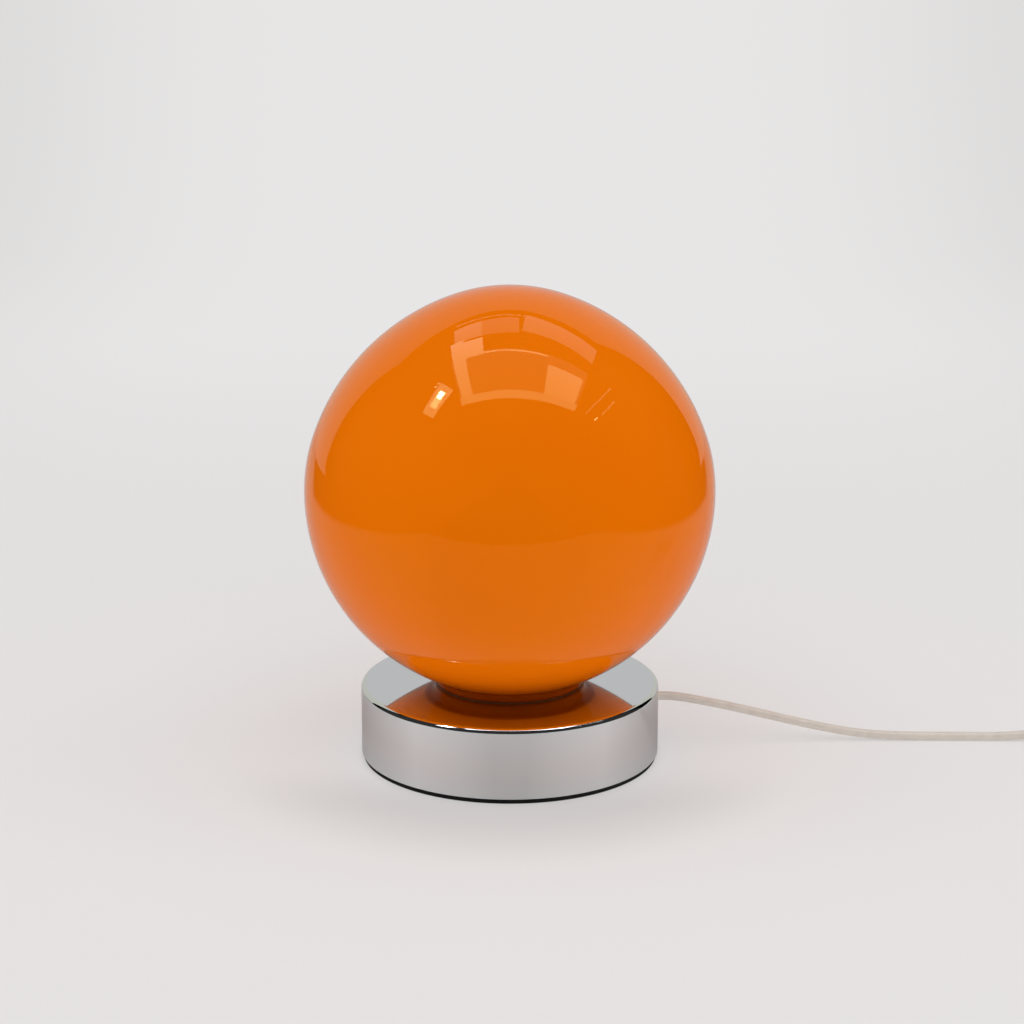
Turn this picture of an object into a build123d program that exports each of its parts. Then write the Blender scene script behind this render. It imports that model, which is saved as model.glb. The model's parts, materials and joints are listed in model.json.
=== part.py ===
from build123d import *
from math import atan2, cos, degrees, pi, radians, sin, sqrt, tan
import os

# Glass globe table lamp. Millimetres, +Z up, the room side is -Y, and the origin is the centre of the
# foot pad's underside. The glass globe stands with its neck on a chromed drum and lifts straight off
# over the bulb. The flex leaves the drum's right side and ends in a two-pin plug.

# ---- base drum
drum_diameter = 180.0
drum_height = 42.6
drum_wall = 1.2
drum_edge_radius = 3.0
pad_thickness = 2.8
pad_inset = 1.0
plate_thickness = 1.5
plate_gap = 0.2
ballast_diameter = 144.0
ballast_bore = 56.0
ballast_height = 16.0
ballast_rim = 4.5  # iron left outside each post's hole
post_radius = 5.0
post_count = 3
post_gap = 0.5

# ---- glass globe and what seats it
globe_diameter = 243.8
glass_wall = 3.0
neck_diameter = 90.0
neck_fillet = 6.0
lip_chamfer = 0.8
gasket_thickness = 0.5
gasket_inset = 0.4
neck_straight = 0.8  # upright part of the neck, under its blend into the ball
inner_band_count = 12  # the inside of the glass is turned in straight bands
collar_diameter = 68.0
collar_thickness = 1.2
leaf_count = 3
leaf_width = 12.0
leaf_thickness = 0.6
leaf_clearance = 0.3  # leaf crown to the bore of the neck
leaf_crown_height = 9.0  # above the collar
leaf_top_height = 15.0

# ---- stem, lampholder and bulb
stem_diameter = 10.0
stem_bore = 7.2
stem_below_deck = 6.0
stem_above_deck = 10.5
washer_thickness = 1.0
nut_height = 3.5
nut_across_flats = 14.0
thread_gap = 0.05
cap_neck_radius = 8.0
cap_neck_height = 6.0
cap_cone_height = 7.0
cap_radius = 18.0
cap_height = 24.0
cap_wall = 1.8
insert_height = 10.0
insert_gap = 0.2
insert_ledge = 1.5
skirt_radius = 20.5
skirt_mouth_radius = 19.5
skirt_height = 31.0
skirt_overlap = 5.0
shell_bore_radius = 13.4  # E27 screw shell
shell_wall = 0.4
shell_height = 24.0
shell_gap = 0.6
lamp_cap_radius = 13.1
lamp_cap_wall = 0.5
lamp_cap_height = 23.0
lamp_envelope_radius = 30.0
lamp_length = 108.0
lamp_glass_wall = 1.0
lamp_neck_radius = 12.4

# ---- flex
flex_diameter = 5.4
flex_gap = 0.1
core_diameter = 2.2
core_gap = 0.1
exit_azimuth = 9.0
exit_height = 30.2
relief_length = 20.0  # the tapered sleeve inside the drum
relief_root_radius = 4.0
relief_tip_radius = 3.4
relief_lip_radius = 5.0
relief_lip_thickness = 0.8
relief_gap = 0.1
jacket_end_radius = 38.0
clamp_length = 11.0
clamp_width = 25.0
clamp_saddle_height = 3.2
clamp_gap = 0.4

# ---- inline switch
switch_start = 352.0
switch_length = 62.0
switch_width = 26.0
switch_height = 18.0
switch_corner = 10.0
switch_wall = 2.0
switch_edge = 2.0
switch_flex_height = 7.5
switch_grip = 6.0
rocker_radius = 9.6
rocker_width = 11.0
rocker_gap = 0.4
rocker_tilt = 7.0
rocker_pivot_drop = 3.6  # pivot below the switch's top
rocker_pin_radius = 1.2
pin_gap = 0.05

# ---- put-away coil and plug
coil_inner_radius = 23.5  # centreline of the tightest turn
coil_pitch = 5.9
coil_half_turns = 6  # in each layer
coil_lead_in = 37.0  # from the switch to where the turns begin
tie_thickness = 0.6
tie_gap = 0.2
tie_width = 8.0
tail_length = 35.0
plug_width = 35.0
plug_thickness = 13.7
plug_nose_length = 14.0
plug_body_length = 34.0
plug_back_width = 13.0
plug_back_thickness = 11.0
plug_relief_length = 18.0
plug_relief_tip_radius = 3.4
plug_grip = 5.0
pin_spacing = 18.6
pin_radius = 2.0
pin_length = 19.0
sleeve_radius = 1.9
sleeve_length = 9.0

# ---- shared
screw_radius = 2.0  # M4
screw_hole_gap = 0.2
screw_head_radius = 3.8
screw_head_height = 1.8
screw_length = 9.0
small_screw_radius = 1.5  # M3
small_head_radius = 2.8
small_head_height = 1.8
cord_sides = 6

# ---- heights and radii that follow
drum_radius = drum_diameter / 2
drum_top = pad_thickness + drum_height
deck_underside = drum_top - drum_wall
plate_top = pad_thickness + plate_thickness
ballast_top = plate_top + ballast_height
ballast_radius = ballast_diameter / 2
ballast_middle_radius = (ballast_radius + ballast_bore / 2) / 2
post_circle_radius = ballast_radius - ballast_rim - post_gap - post_radius
globe_radius = globe_diameter / 2
neck_radius = neck_diameter / 2
neck_bore_radius = neck_radius - glass_wall
neck_bottom = drum_top + gasket_thickness
globe_centre = neck_bottom + neck_straight + sqrt(
    (globe_radius + neck_fillet) ** 2 - (neck_radius + neck_fillet) ** 2)
collar_top = drum_top + collar_thickness
stem_radius = stem_diameter / 2
insert_bottom = collar_top + cap_height - insert_height
insert_top = insert_bottom + insert_height
contact_top = insert_top + 2.4
lamp_bottom = contact_top + 0.2
flex_radius = flex_diameter / 2
core_radius = core_diameter / 2
coil_outer_radius = coil_inner_radius + coil_half_turns * coil_pitch / 2
layer_low = flex_radius + tie_thickness + 0.3
layer_high = layer_low + coil_pitch

parts = {}


def ring(outer, inner, bottom, top):
    """An upright tube or a washer."""
    height = top - bottom
    middle = Pos(0, 0, (top + bottom) / 2)
    return middle * (Cylinder(outer, height) - Cylinder(inner, height))


def disc(radius, bottom, top):
    return Pos(0, 0, (top + bottom) / 2) * Cylinder(radius, top - bottom)


def turned(outline):
    """A solid of revolution from (radius, height) corners."""
    profile = make_face(Polyline(*outline, close=True))
    return revolve(Rot(90, 0, 0) * profile, Axis.Z)


def spread(piece, count, radius, first=90.0):
    """Copies of a piece, all round the lamp's axis."""
    return [Rot(0, 0, first + 360 * i / count) * Pos(radius, 0, 0) * piece for i in range(count)]


def cut(body, tools):
    for tool in tools:
        body = body - tool
    return body


def flex_section(end, direction, radius=None):
    """The flex's section with flat sides, square to its line, a flat side down."""
    plane = Plane(origin=end, x_dir=Vector(0, 0, 1).cross(direction), z_dir=direction)
    corner = (radius or flex_radius) / cos(pi / cord_sides) ** 0.5
    return plane * RegularPolygon(corner, cord_sides, rotation=0)


def bend_radii(points, share=0.45):
    """One arc for each corner of a route, as large as its two runs allow."""
    radii = []
    for before, here, after in zip(points, points[1:], points[2:]):
        one, two = Vector(*here) - Vector(*before), Vector(*after) - Vector(*here)
        turn = radians(one.get_angle(two))
        radii.append(share * min(one.length, two.length) / tan(turn / 2))
    return radii


def flex_tube(name, points):
    """A stretch of flex along straight runs joined by tangent arcs."""
    radii = bend_radii(points)
    path = FilletPolyline(*points, radius=radii)
    section = flex_section(path @ 0, path % 0)
    tube = sweep(section, path=path)
    print(name, "radii", [round(r) for r in radii], "length", round(path.length, 1),
          "volume over section times length", round(tube.volume / (section.area * path.length), 4))
    return tube, path.length


# ---- base

def flex_exit_frame():
    """Origin where the flex crosses the drum's outside, X outwards, Z up."""
    return Rot(0, 0, exit_azimuth) * Pos(drum_radius, 0, exit_height)


def along_exit(start, end, radius, end_radius=None):
    """A round piece on the flex's line, between two distances outwards from the drum's outside."""
    piece = Cone(radius, end_radius or radius, end - start) if end_radius else Cylinder(radius, end - start)
    return flex_exit_frame() * Pos((start + end) / 2, 0, 0) * Rot(0, 90, 0) * piece


def make_base_shell():
    shell = disc(drum_radius, pad_thickness, drum_top)
    shell = fillet(shell.edges().group_by(Axis.Z)[-1], drum_edge_radius)
    inside = disc(drum_radius - drum_wall, pad_thickness, deck_underside)
    shell -= fillet(inside.edges().group_by(Axis.Z)[-1], drum_edge_radius - drum_wall)
    shell -= disc(stem_radius + screw_hole_gap, deck_underside, drum_top)
    return shell - along_exit(-3 * drum_wall, 2 * drum_wall, relief_root_radius + relief_gap)


def screw_places():
    """Where screws come up through the foot: (radius, azimuths)."""
    post_turns = [90 + 360 * i / post_count for i in range(post_count)]
    return [(post_circle_radius, a) for a in post_turns] + [
        (ballast_middle_radius, a) for a in (60, 240)]


def at_screws(piece, places):
    return [Rot(0, 0, a) * Pos(r, 0, 0) * piece for r, a in places]


def make_base_plate():
    plate = disc(drum_radius - drum_wall - plate_gap, pad_thickness, plate_top)
    hole = disc(screw_radius + screw_hole_gap, pad_thickness, plate_top)
    return cut(plate, at_screws(hole, screw_places()))


def make_foot_pad():
    pad = disc(drum_radius - pad_inset, 0, pad_thickness)
    hole = disc(screw_head_radius + 2 * screw_hole_gap, 0, pad_thickness)
    return cut(pad, at_screws(hole, screw_places()))


def tapped(depth, bottom):
    return disc(screw_radius + thread_gap, bottom, bottom + depth)


def make_posts():
    post = extrude(Pos(0, 0, plate_top) * RegularPolygon(post_radius, 6), deck_underside - plate_top)
    return Compound(children=spread(post - tapped(screw_length, plate_top), post_count, post_circle_radius))


def make_ballast():
    ballast = ring(ballast_radius, ballast_bore / 2, plate_top, ballast_top)
    post_hole = disc(post_radius + post_gap, plate_top, ballast_top)
    ballast = cut(ballast, spread(post_hole, post_count, post_circle_radius))
    ballast = cut(ballast, at_screws(tapped(screw_length, plate_top), screw_places()[post_count:]))
    return cut(ballast, clamp_screw_shafts(small_screw_radius + thread_gap))


def screw_from_below(head_top):
    """A pan head screw pointing up, its slot open below."""
    head = disc(screw_head_radius, head_top - screw_head_height, head_top)
    slot = Pos(0, 0, head_top - screw_head_height) * Box(2 * screw_head_radius, 1.0, 1.4)
    return (head - slot) + disc(screw_radius, head_top, head_top + plate_thickness + 0.8 * screw_length)


def make_relief():
    """Bush snapped into the wall: a lip outside, a barb inside, and a sleeve that tapers inwards."""
    lip = along_exit(0, relief_lip_thickness, relief_lip_radius)
    body = along_exit(-2 * drum_wall, 0, relief_root_radius)
    barb = along_exit(-3 * drum_wall, -drum_wall - 3 * relief_gap, relief_root_radius + 0.8)
    sleeve = along_exit(-3 * drum_wall - relief_length, -3 * drum_wall, relief_tip_radius, relief_root_radius)
    bore = along_exit(-2 * relief_length, drum_radius, flex_radius + flex_gap)
    return lip + body + barb + sleeve - bore


def make_inner_flex():
    """The jacketed flex inside the drum, straight from the bush through the clamp."""
    return along_exit(jacket_end_radius - drum_radius, relief_lip_thickness, flex_radius)


def make_cores():
    """Two insulated cores from the end of the jacket, up the stem, to the terminals."""
    side = core_radius + core_gap / 2
    made = []
    for sign in (1, -1):
        route = [(jacket_end_radius, sign * side, exit_height), (0, sign * side, exit_height),
                 (0, sign * side, insert_bottom - 2)]
        path = FilletPolyline(*route, radius=stem_below_deck)
        section = Plane(origin=path @ 0, z_dir=path % 0) * RegularPolygon(core_radius, cord_sides)
        made.append(Rot(0, 0, exit_azimuth) * sweep(section, path=path))
    return made


def clamp_screw_shafts(radius, top=exit_height + 9.0):
    side = clamp_width / 2 - 4.5
    shaft = disc(radius, ballast_top - 8, top)
    return [Rot(0, 0, exit_azimuth) * Pos(ballast_middle_radius, y, 0) * shaft for y in (side, -side)]


def clamp_block(bottom, top):
    block = Pos(ballast_middle_radius, 0, (bottom + top) / 2) * Box(clamp_length, clamp_width, top - bottom)
    groove = Pos(ballast_middle_radius, 0, exit_height) * Rot(0, 90, 0) * Cylinder(
        flex_radius + flex_gap, clamp_length)
    block = Rot(0, 0, exit_azimuth) * (block - groove)
    return cut(block, clamp_screw_shafts(small_screw_radius + screw_hole_gap))


saddle_top = exit_height + flex_radius + clamp_saddle_height


def make_clamp_screws():
    heads = clamp_screw_shafts(small_head_radius)
    keep = disc(drum_radius, saddle_top, saddle_top + small_head_height)
    slot = Rot(0, 0, exit_azimuth) * Pos(ballast_middle_radius, 0, saddle_top + small_head_height) * Box(
        0.8, clamp_width, 1.2)
    shafts = clamp_screw_shafts(small_screw_radius, saddle_top)
    return Compound(children=[(head & keep) - slot + shaft for head, shaft in zip(heads, shafts)])


parts["base_shell"] = make_base_shell()
parts["base_plate"] = make_base_plate()
parts["foot_pad"] = make_foot_pad()
parts["deck_posts"] = make_posts()
parts["ballast_ring"] = make_ballast()
parts["plate_screws"] = Compound(children=at_screws(screw_from_below(pad_thickness), screw_places()))
parts["strain_relief"] = make_relief()
parts["inner_flex"] = make_inner_flex()
parts["live_core"], parts["neutral_core"] = make_cores()
parts["clamp_block"] = clamp_block(ballast_top, exit_height - clamp_gap / 2)
parts["clamp_saddle"] = clamp_block(exit_height + clamp_gap / 2, saddle_top)
parts["clamp_screws"] = make_clamp_screws()


# ---- stem, spring collar and gasket

def make_nut():
    nut_top = deck_underside - washer_thickness
    nut = extrude(Pos(0, 0, nut_top - nut_height) * RegularPolygon(
        nut_across_flats / 2, 6, major_radius=False), nut_height)
    return nut - disc(stem_radius + thread_gap, nut_top - nut_height, nut_top)


def make_washer():
    """Toothed lock washer."""
    washer = ring(8.0, stem_radius + screw_hole_gap, deck_underside - washer_thickness, deck_underside)
    gap = Box(3.0, 1.6, 4 * washer_thickness)
    return cut(washer, spread(Pos(0, 0, deck_underside) * gap, 8, 8.0, 0.0))


def make_leaf():
    """A sprung leaf, seen from the side as (radius, height): tab, rise, crown and lead-in."""
    crown = neck_bore_radius - leaf_clearance - leaf_thickness / 2
    foot = collar_top + leaf_thickness / 2
    line = FilletPolyline(
        (collar_diameter / 2 - 14, foot), (collar_diameter / 2 + 1.5, foot),
        (crown, collar_top + leaf_crown_height), (crown - 4, collar_top + leaf_top_height), radius=2.0)
    strip = trace(line, line_width=leaf_thickness)
    leaf = extrude(Rot(90, 0, 0) * strip, leaf_width / 2, both=True)
    return leaf - Pos(collar_diameter / 2 - 8, 0, foot) * Cylinder(small_screw_radius + thread_gap, 3)


def make_rivet():
    head = disc(small_head_radius, collar_top + leaf_thickness, collar_top + leaf_thickness + 1.0)
    return head + disc(small_screw_radius, drum_top, collar_top + leaf_thickness)


collar_rivet_radius = collar_diameter / 2 - 8
collar = disc(collar_diameter / 2, drum_top, collar_top) - disc(stem_radius + thread_gap, drum_top, collar_top)
rivet_hole = disc(small_screw_radius + thread_gap, drum_top, collar_top)
parts["spring_collar"] = cut(collar, spread(rivet_hole, leaf_count, collar_rivet_radius, 30))
parts["leaf_springs"] = Compound(children=spread(make_leaf(), leaf_count, 0, 30))
parts["leaf_rivets"] = Compound(children=spread(make_rivet(), leaf_count, collar_rivet_radius, 30))
parts["seat_gasket"] = ring(neck_radius - gasket_inset, neck_bore_radius + gasket_inset, drum_top, neck_bottom)
parts["stem"] = ring(stem_radius, stem_bore / 2, deck_underside - stem_below_deck, drum_top + stem_above_deck)
parts["stem_nut"] = make_nut()
parts["lock_washer"] = make_washer()


# ---- lampholder

def make_holder_cap():
    """Spun cup on the stem: a neck, a cone, and a skirt with a ledge for the insert."""
    top, neck_top = collar_top + cap_height, collar_top + cap_neck_height
    bore, inside = stem_radius + thread_gap, cap_radius - cap_wall
    ledge = inside - insert_ledge
    slope = cap_cone_height / (cap_radius - cap_neck_radius)
    cone_inside = [(r, neck_top + (r - cap_neck_radius) * slope + 1.2 * cap_wall) for r in (ledge, bore)]
    return turned([
        (bore, collar_top), (cap_neck_radius, collar_top), (cap_neck_radius, neck_top),
        (cap_radius, neck_top + cap_cone_height), (cap_radius, top), (inside, top),
        (inside, insert_bottom), (ledge, insert_bottom), *cone_inside])


def make_insert():
    """Ceramic core, with a slot through it for each terminal."""
    core = disc(cap_radius - cap_wall - insert_gap, insert_bottom, insert_top)
    slot = Pos(9.0, 0, insert_top) * Box(6.2, 6.2, 3 * insert_height)
    return core - slot - Rot(0, 0, 180) * slot


def make_screw_shell():
    tube = ring(shell_bore_radius + shell_wall, shell_bore_radius, insert_top, insert_top + shell_height)
    foot = ring(shell_bore_radius + shell_wall, shell_bore_radius - 1.6, insert_top, insert_top + shell_wall)
    return tube + foot


def make_terminal():
    block = Pos(9.0, 0, insert_bottom + insert_height / 2) * Box(6, 6, insert_height - 1)
    return block - Pos(9.0, 0, 0) * disc(core_radius + 0.1, insert_bottom, insert_bottom + 6)


def make_centre_contact():
    """Phosphor bronze strip that bows up under the lamp's tip."""
    line = FilletPolyline((-11, insert_top + 0.3), (-6, insert_top + 0.3), (-2.5, contact_top - 0.3),
                          (2.5, contact_top - 0.3), (4.5, contact_top - 1.0), radius=1.2)
    return extrude(Rot(90, 0, 0) * trace(line, line_width=0.5), 2.5, both=True)


def make_skirt():
    """The shade ring's tube: it screws over the cap and closes in round the screw shell."""
    bottom = collar_top + cap_height - skirt_overlap
    top, inner = bottom + skirt_height, cap_radius + insert_gap
    tube = shell_bore_radius + shell_wall + shell_gap
    return turned([
        (inner, bottom), (skirt_radius, bottom), (skirt_mouth_radius, top), (tube, top),
        (tube, bottom + skirt_overlap + shell_gap), (inner, bottom + skirt_overlap + shell_gap)])


parts["holder_cap"] = make_holder_cap()
parts["holder_insert"] = make_insert()
parts["screw_shell"] = make_screw_shell()
terminal = make_terminal()
parts["terminals"] = Compound(children=[terminal, Rot(0, 0, 180) * terminal])
parts["centre_contact"] = make_centre_contact()
parts["holder_skirt"] = make_skirt()


# ---- bulb

lamp_cap_top = lamp_bottom + 3.0 + lamp_cap_height
lamp_bulge_height = lamp_bottom + lamp_length - lamp_envelope_radius


def envelope_outline(offset, bands):
    """Neck, flare and rounded crown of the bulb's glass, the crown in straight bands."""
    radius, neck = lamp_envelope_radius - offset, lamp_neck_radius - offset
    lowest = -40
    crown = [(radius * cos(radians(a)), lamp_bulge_height + radius * sin(radians(a)))
             for a in (lowest + (90 - lowest) * i / bands for i in range(bands))]
    return [(neck, lamp_cap_top - 6), (neck, lamp_cap_top + 8), *crown, (0, lamp_bulge_height + radius)]


parts["bulb_glass"] = turned(envelope_outline(0, 7) + envelope_outline(lamp_glass_wall + 0.6, 4)[::-1])
parts["bulb_cap"] = turned([
    (4.5, lamp_bottom + 1.5), (lamp_cap_radius, lamp_bottom + 6.0), (lamp_cap_radius, lamp_cap_top),
    (lamp_cap_radius - lamp_cap_wall, lamp_cap_top), (lamp_cap_radius - lamp_cap_wall, lamp_bottom + 7.0),
    (4.5, lamp_bottom + 3.0)])
parts["bulb_insulator"] = disc(4.5 - thread_gap, lamp_bottom + 1.0, lamp_bottom + 3.0) - disc(
    2.0 + thread_gap, lamp_bottom + 1.0, lamp_bottom + 3.0)
parts["bulb_tip"] = disc(2.0, lamp_bottom, lamp_bottom + 3.0)


# ---- glass globe

def neck_blend(radius, bore, fillet):
    """Centre of the arc between the neck and the ball, and where it meets the ball."""
    height = globe_centre - sqrt((radius + fillet) ** 2 - (bore + fillet) ** 2)
    share = radius / (radius + fillet)
    on_ball = ((bore + fillet) * share, globe_centre + (height - globe_centre) * share)
    return height, on_ball


def make_globe():
    """A blown ball with a short neck: the outside is true arcs, the inside straight bands."""
    blend_height, on_ball = neck_blend(globe_radius, neck_radius, neck_fillet)
    rise = atan2(on_ball[1] - globe_centre, on_ball[0])
    middle = (rise + pi / 2) / 2
    ball = ThreePointArc(
        on_ball, (globe_radius * cos(middle), globe_centre + globe_radius * sin(middle)),
        (0, globe_centre + globe_radius))
    arc_centre = (neck_radius + neck_fillet, blend_height)
    toward = Vector(on_ball[0] - arc_centre[0], on_ball[1] - arc_centre[1]) + Vector(-neck_fillet, 0)
    halfway = toward.normalized() * neck_fillet
    blend = ThreePointArc(
        (neck_radius, blend_height), (arc_centre[0] + halfway.X, arc_centre[1] + halfway.Y), on_ball)
    inner_radius = globe_radius - glass_wall
    low_height, low = neck_blend(inner_radius, neck_bore_radius, neck_fillet + glass_wall)
    start = degrees(atan2(low[1] - globe_centre, low[0]))
    bands = [(inner_radius * cos(radians(a)), globe_centre + inner_radius * sin(radians(a)))
             for a in (start + (90 - start) * i / inner_band_count for i in range(inner_band_count))]
    inside = Polyline(
        (0, globe_centre + globe_radius), (0, globe_centre + inner_radius), *bands[::-1],
        (neck_bore_radius + 0.6, low_height + 3.5), (neck_bore_radius, low_height),
        (neck_bore_radius, neck_bottom + lip_chamfer), (neck_bore_radius + lip_chamfer, neck_bottom),
        (neck_radius - lip_chamfer, neck_bottom), (neck_radius, neck_bottom + lip_chamfer),
        (neck_radius, blend_height))
    profile = make_face([*ball.edges(), *blend.edges(), *inside.edges()])
    return revolve(Rot(90, 0, 0) * profile, Axis.Z)


parts["glass_globe"] = make_globe()


# ---- free flex, from the strain relief down to the surface and along it to the switch

switch_y = 17.3
switch_end = switch_start + switch_length
coil_x = switch_end + coil_lead_in
coil_y = switch_y - coil_outer_radius


def exit_point(distance):
    """A point on the flex's straight line out of the drum."""
    return tuple((flex_exit_frame() * Pos(distance, 0, 0)).position)


flex_route = [
    exit_point(relief_lip_thickness), exit_point(relief_lip_thickness + 8.2), (113.0, 17.8, 27.0),
    (137.0, 20.0, 21.3), (162.0, 20.2, 15.1), (187.0, 19.3, 9.5), (211.0, 18.7, 4.8),
    (237.0, 18.3, flex_radius), (277.0, 18.0, flex_radius), (314.0, switch_y, flex_radius),
    (336.0, switch_y, switch_flex_height), (switch_start + switch_grip, switch_y, switch_flex_height)]
link_route = [
    (switch_end - switch_grip, switch_y, switch_flex_height),
    (switch_end + 10, switch_y, switch_flex_height),
    (coil_x - flex_diameter - 10, switch_y, layer_low),
    (coil_x - flex_diameter, switch_y, layer_low)]
parts["flex_run"], flex_run_length = flex_tube("flex_run", flex_route)
parts["flex_link"], flex_link_length = flex_tube("flex_link", link_route)


# ---- inline switch

switch_middle = switch_start + switch_length / 2
pivot_height = switch_height - rocker_pivot_drop


def switch_block(inset, bottom, top):
    """The switch's rounded plan, drawn in by an inset."""
    plan = RectangleRounded(
        switch_length - 2 * inset, switch_width - 2 * inset, switch_corner - inset)
    return extrude(Pos(switch_middle, switch_y, bottom) * plan, top - bottom)


def make_switch_half(bottom, top):
    solid = switch_block(0, 0, switch_height)
    solid = chamfer(solid.faces().sort_by(Axis.Z)[-1].edges(), switch_edge)
    solid -= switch_block(switch_wall, switch_wall, switch_height - switch_wall)
    solid -= Pos(switch_middle, switch_y, switch_flex_height) * Rot(0, 90, 0) * Cylinder(
        flex_radius + 3 * flex_gap, switch_length + 2)
    return solid & switch_block(-1, bottom, top)


def pin_boss(side):
    """Cheek beside the rocker that carries the end of its pin."""
    reach = rocker_width / 2 + rocker_gap
    cheek = Pos(switch_middle, switch_y + side * (reach + 1.2), pivot_height - 0.4) * Box(
        6.0, 2.4, 2 * (rocker_pivot_drop - switch_wall) + 2.4)
    return cheek


def make_upper_half():
    upper = make_switch_half(switch_flex_height, switch_height)
    opening = Pos(switch_middle, switch_y, switch_height) * Box(
        2 * (rocker_radius + rocker_gap), rocker_width + 2 * rocker_gap, 4 * switch_wall)
    upper = upper - opening + pin_boss(1) + pin_boss(-1)
    return upper - pin_rod(rocker_pin_radius + pin_gap)


def pin_rod(radius):
    return Pos(switch_middle, switch_y, pivot_height) * Rot(90, 0, 0) * Cylinder(
        radius, rocker_width + 2 * rocker_gap + 4.0)


def make_rocker():
    """A drum about its pin, dished on top, at rest pressed down at its left end."""
    drum = Rot(90, 0, 0) * Cylinder(rocker_radius, rocker_width)
    dish_radius, dish_floor = 34.0, 3.0
    drum -= Pos(0, 0, dish_floor + dish_radius) * Rot(90, 0, 0) * Cylinder(dish_radius, rocker_width)
    drum -= Pos(0, 0, -4.0 - rocker_radius) * Box(4 * rocker_radius, rocker_width, 2 * rocker_radius)
    drum -= Rot(90, 0, 0) * Cylinder(rocker_pin_radius + pin_gap, rocker_width)
    drum = max(drum.solids(), key=lambda s: s.volume)
    return Pos(switch_middle, switch_y, pivot_height) * Rot(0, -rocker_tilt, 0) * drum


def make_switch_contacts():
    """A brass strip on the floor at each end, its tongue turned up under the rocker."""
    strip = Pos(0, 0, switch_wall + 0.4) * Box(14, 5, 0.8)
    tongue = Pos(-6.6, 0, switch_wall + 1.8) * Box(0.8, 5, 3.6)
    piece = Pos(15, 0, 0) * (strip + tongue)
    return Compound(children=[
        Pos(switch_middle, switch_y, 0) * piece, Pos(switch_middle, switch_y, 0) * Rot(0, 0, 180) * piece])


parts["switch_lower"] = make_switch_half(0, switch_flex_height)
parts["switch_upper"] = make_upper_half()
parts["switch_rocker"] = make_rocker()
parts["rocker_pin"] = pin_rod(rocker_pin_radius)
parts["switch_contacts"] = make_switch_contacts()


# ---- put-away coil: one tube, in along the lower layer and out along the upper one

def arc_from(start, heading, turn_to, radius):
    """A quarter turn from a heading towards turn_to."""
    centre = start + turn_to * radius
    halfway = centre + (heading - turn_to).normalized() * radius
    return ThreePointArc(start, halfway, centre + heading * radius)


def coil_path():
    """Half turns that close in by half a pitch, a climbing half turn, and the same turns out."""
    step = coil_pitch / 2
    here = Vector(coil_x, switch_y, layer_low)
    lead = Vector(flex_diameter, 0, 0)
    side, edges = Vector(0, -1, 0), [Line(here - lead, here)]
    radii = [coil_outer_radius - step * k for k in range(coil_half_turns)]
    for radius in radii:
        heading = Vector(-side.Y, 0, 0)
        edges.append(arc_from(here, heading, side, radius))
        edges.append(arc_from(edges[-1] @ 1, side, heading * -1, radius))
        here, side = edges[-1] @ 1, side * -1
    slope = coil_pitch / 2 / coil_inner_radius
    heading, climbing = Vector(-side.Y, 0, 0), Vector(0, side.Y, slope).normalized()
    quarter = coil_inner_radius * sqrt(1 + slope ** 2)
    edges.append(arc_from(here, heading, climbing, quarter))
    edges.append(arc_from(edges[-1] @ 1, climbing, heading * -1, quarter))
    here, side = edges[-1] @ 1, side * -1
    for radius in radii[::-1]:
        heading = Vector(-side.Y, 0, 0)
        edges.append(arc_from(here, heading, side, radius))
        edges.append(arc_from(edges[-1] @ 1, side, heading * -1, radius))
        here, side = edges[-1] @ 1, side * -1
    return Wire(edges + [Line(here, here - lead)])


def least_gap(path, radius):
    """Smallest gap of the tube to itself, on points along its line."""
    count = int(path.length / 2.0)
    points = [path @ (i / count) for i in range(count + 1)]
    apart = int(4 * radius * pi / (path.length / count))
    return min((points[i] - points[j]).length
               for i in range(count) for j in range(i + apart, count)) - 2 * radius


coil_line = coil_path()
coil_start, coil_end = coil_line @ 0, coil_line @ 1
coil_section = flex_section(coil_start, coil_line % 0)
parts["flex_coil"] = sweep(coil_section, path=coil_line)
print("coil turns", len(coil_line.edges()) / 4, "length", round(coil_line.length, 1),
      "least gap to itself", round(least_gap(coil_line, flex_radius), 2),
      "volume over section times length",
      round(parts["flex_coil"].volume / (coil_section.area * coil_line.length), 4))


def make_tie():
    """A flat band round the bundle, at its right side."""
    inner = coil_inner_radius - flex_radius - 3 * tie_gap
    outer = coil_outer_radius + flex_radius + 3 * tie_gap
    low, high = layer_low - flex_radius - tie_gap, layer_high + flex_radius + 2 * tie_gap
    window = Pos((inner + outer) / 2, 0, (low + high) / 2) * Box(outer - inner, 2 * tie_width, high - low)
    band = Pos((inner + outer) / 2, 0, (low + high) / 2) * Box(
        outer - inner + 2 * tie_thickness, tie_width, high - low + 2 * tie_thickness)
    return Pos(coil_x, coil_y, 0) * (band - window)


parts["coil_tie"] = make_tie()

plug_height = plug_thickness / 2
tail_start = coil_end
relief_start = coil_x - tail_length
tail_route = [
    tuple(tail_start), (tail_start.X - 9, tail_start.Y, layer_high),
    (relief_start + 9, tail_start.Y, plug_height), (relief_start - plug_grip, tail_start.Y, plug_height)]
parts["flex_tail"], flex_tail_length = flex_tube("flex_tail", tail_route)
print("flex from the strain relief to the plug, without the switch", round(
    flex_run_length + flex_link_length + coil_line.length + flex_tail_length, 1))


# ---- two-pin plug, lying beside the coil

def plug_frame():
    """Origin where the flex enters, X towards the pins."""
    return Pos(relief_start, tail_start.Y, plug_height) * Rot(0, 0, 180)


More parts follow.
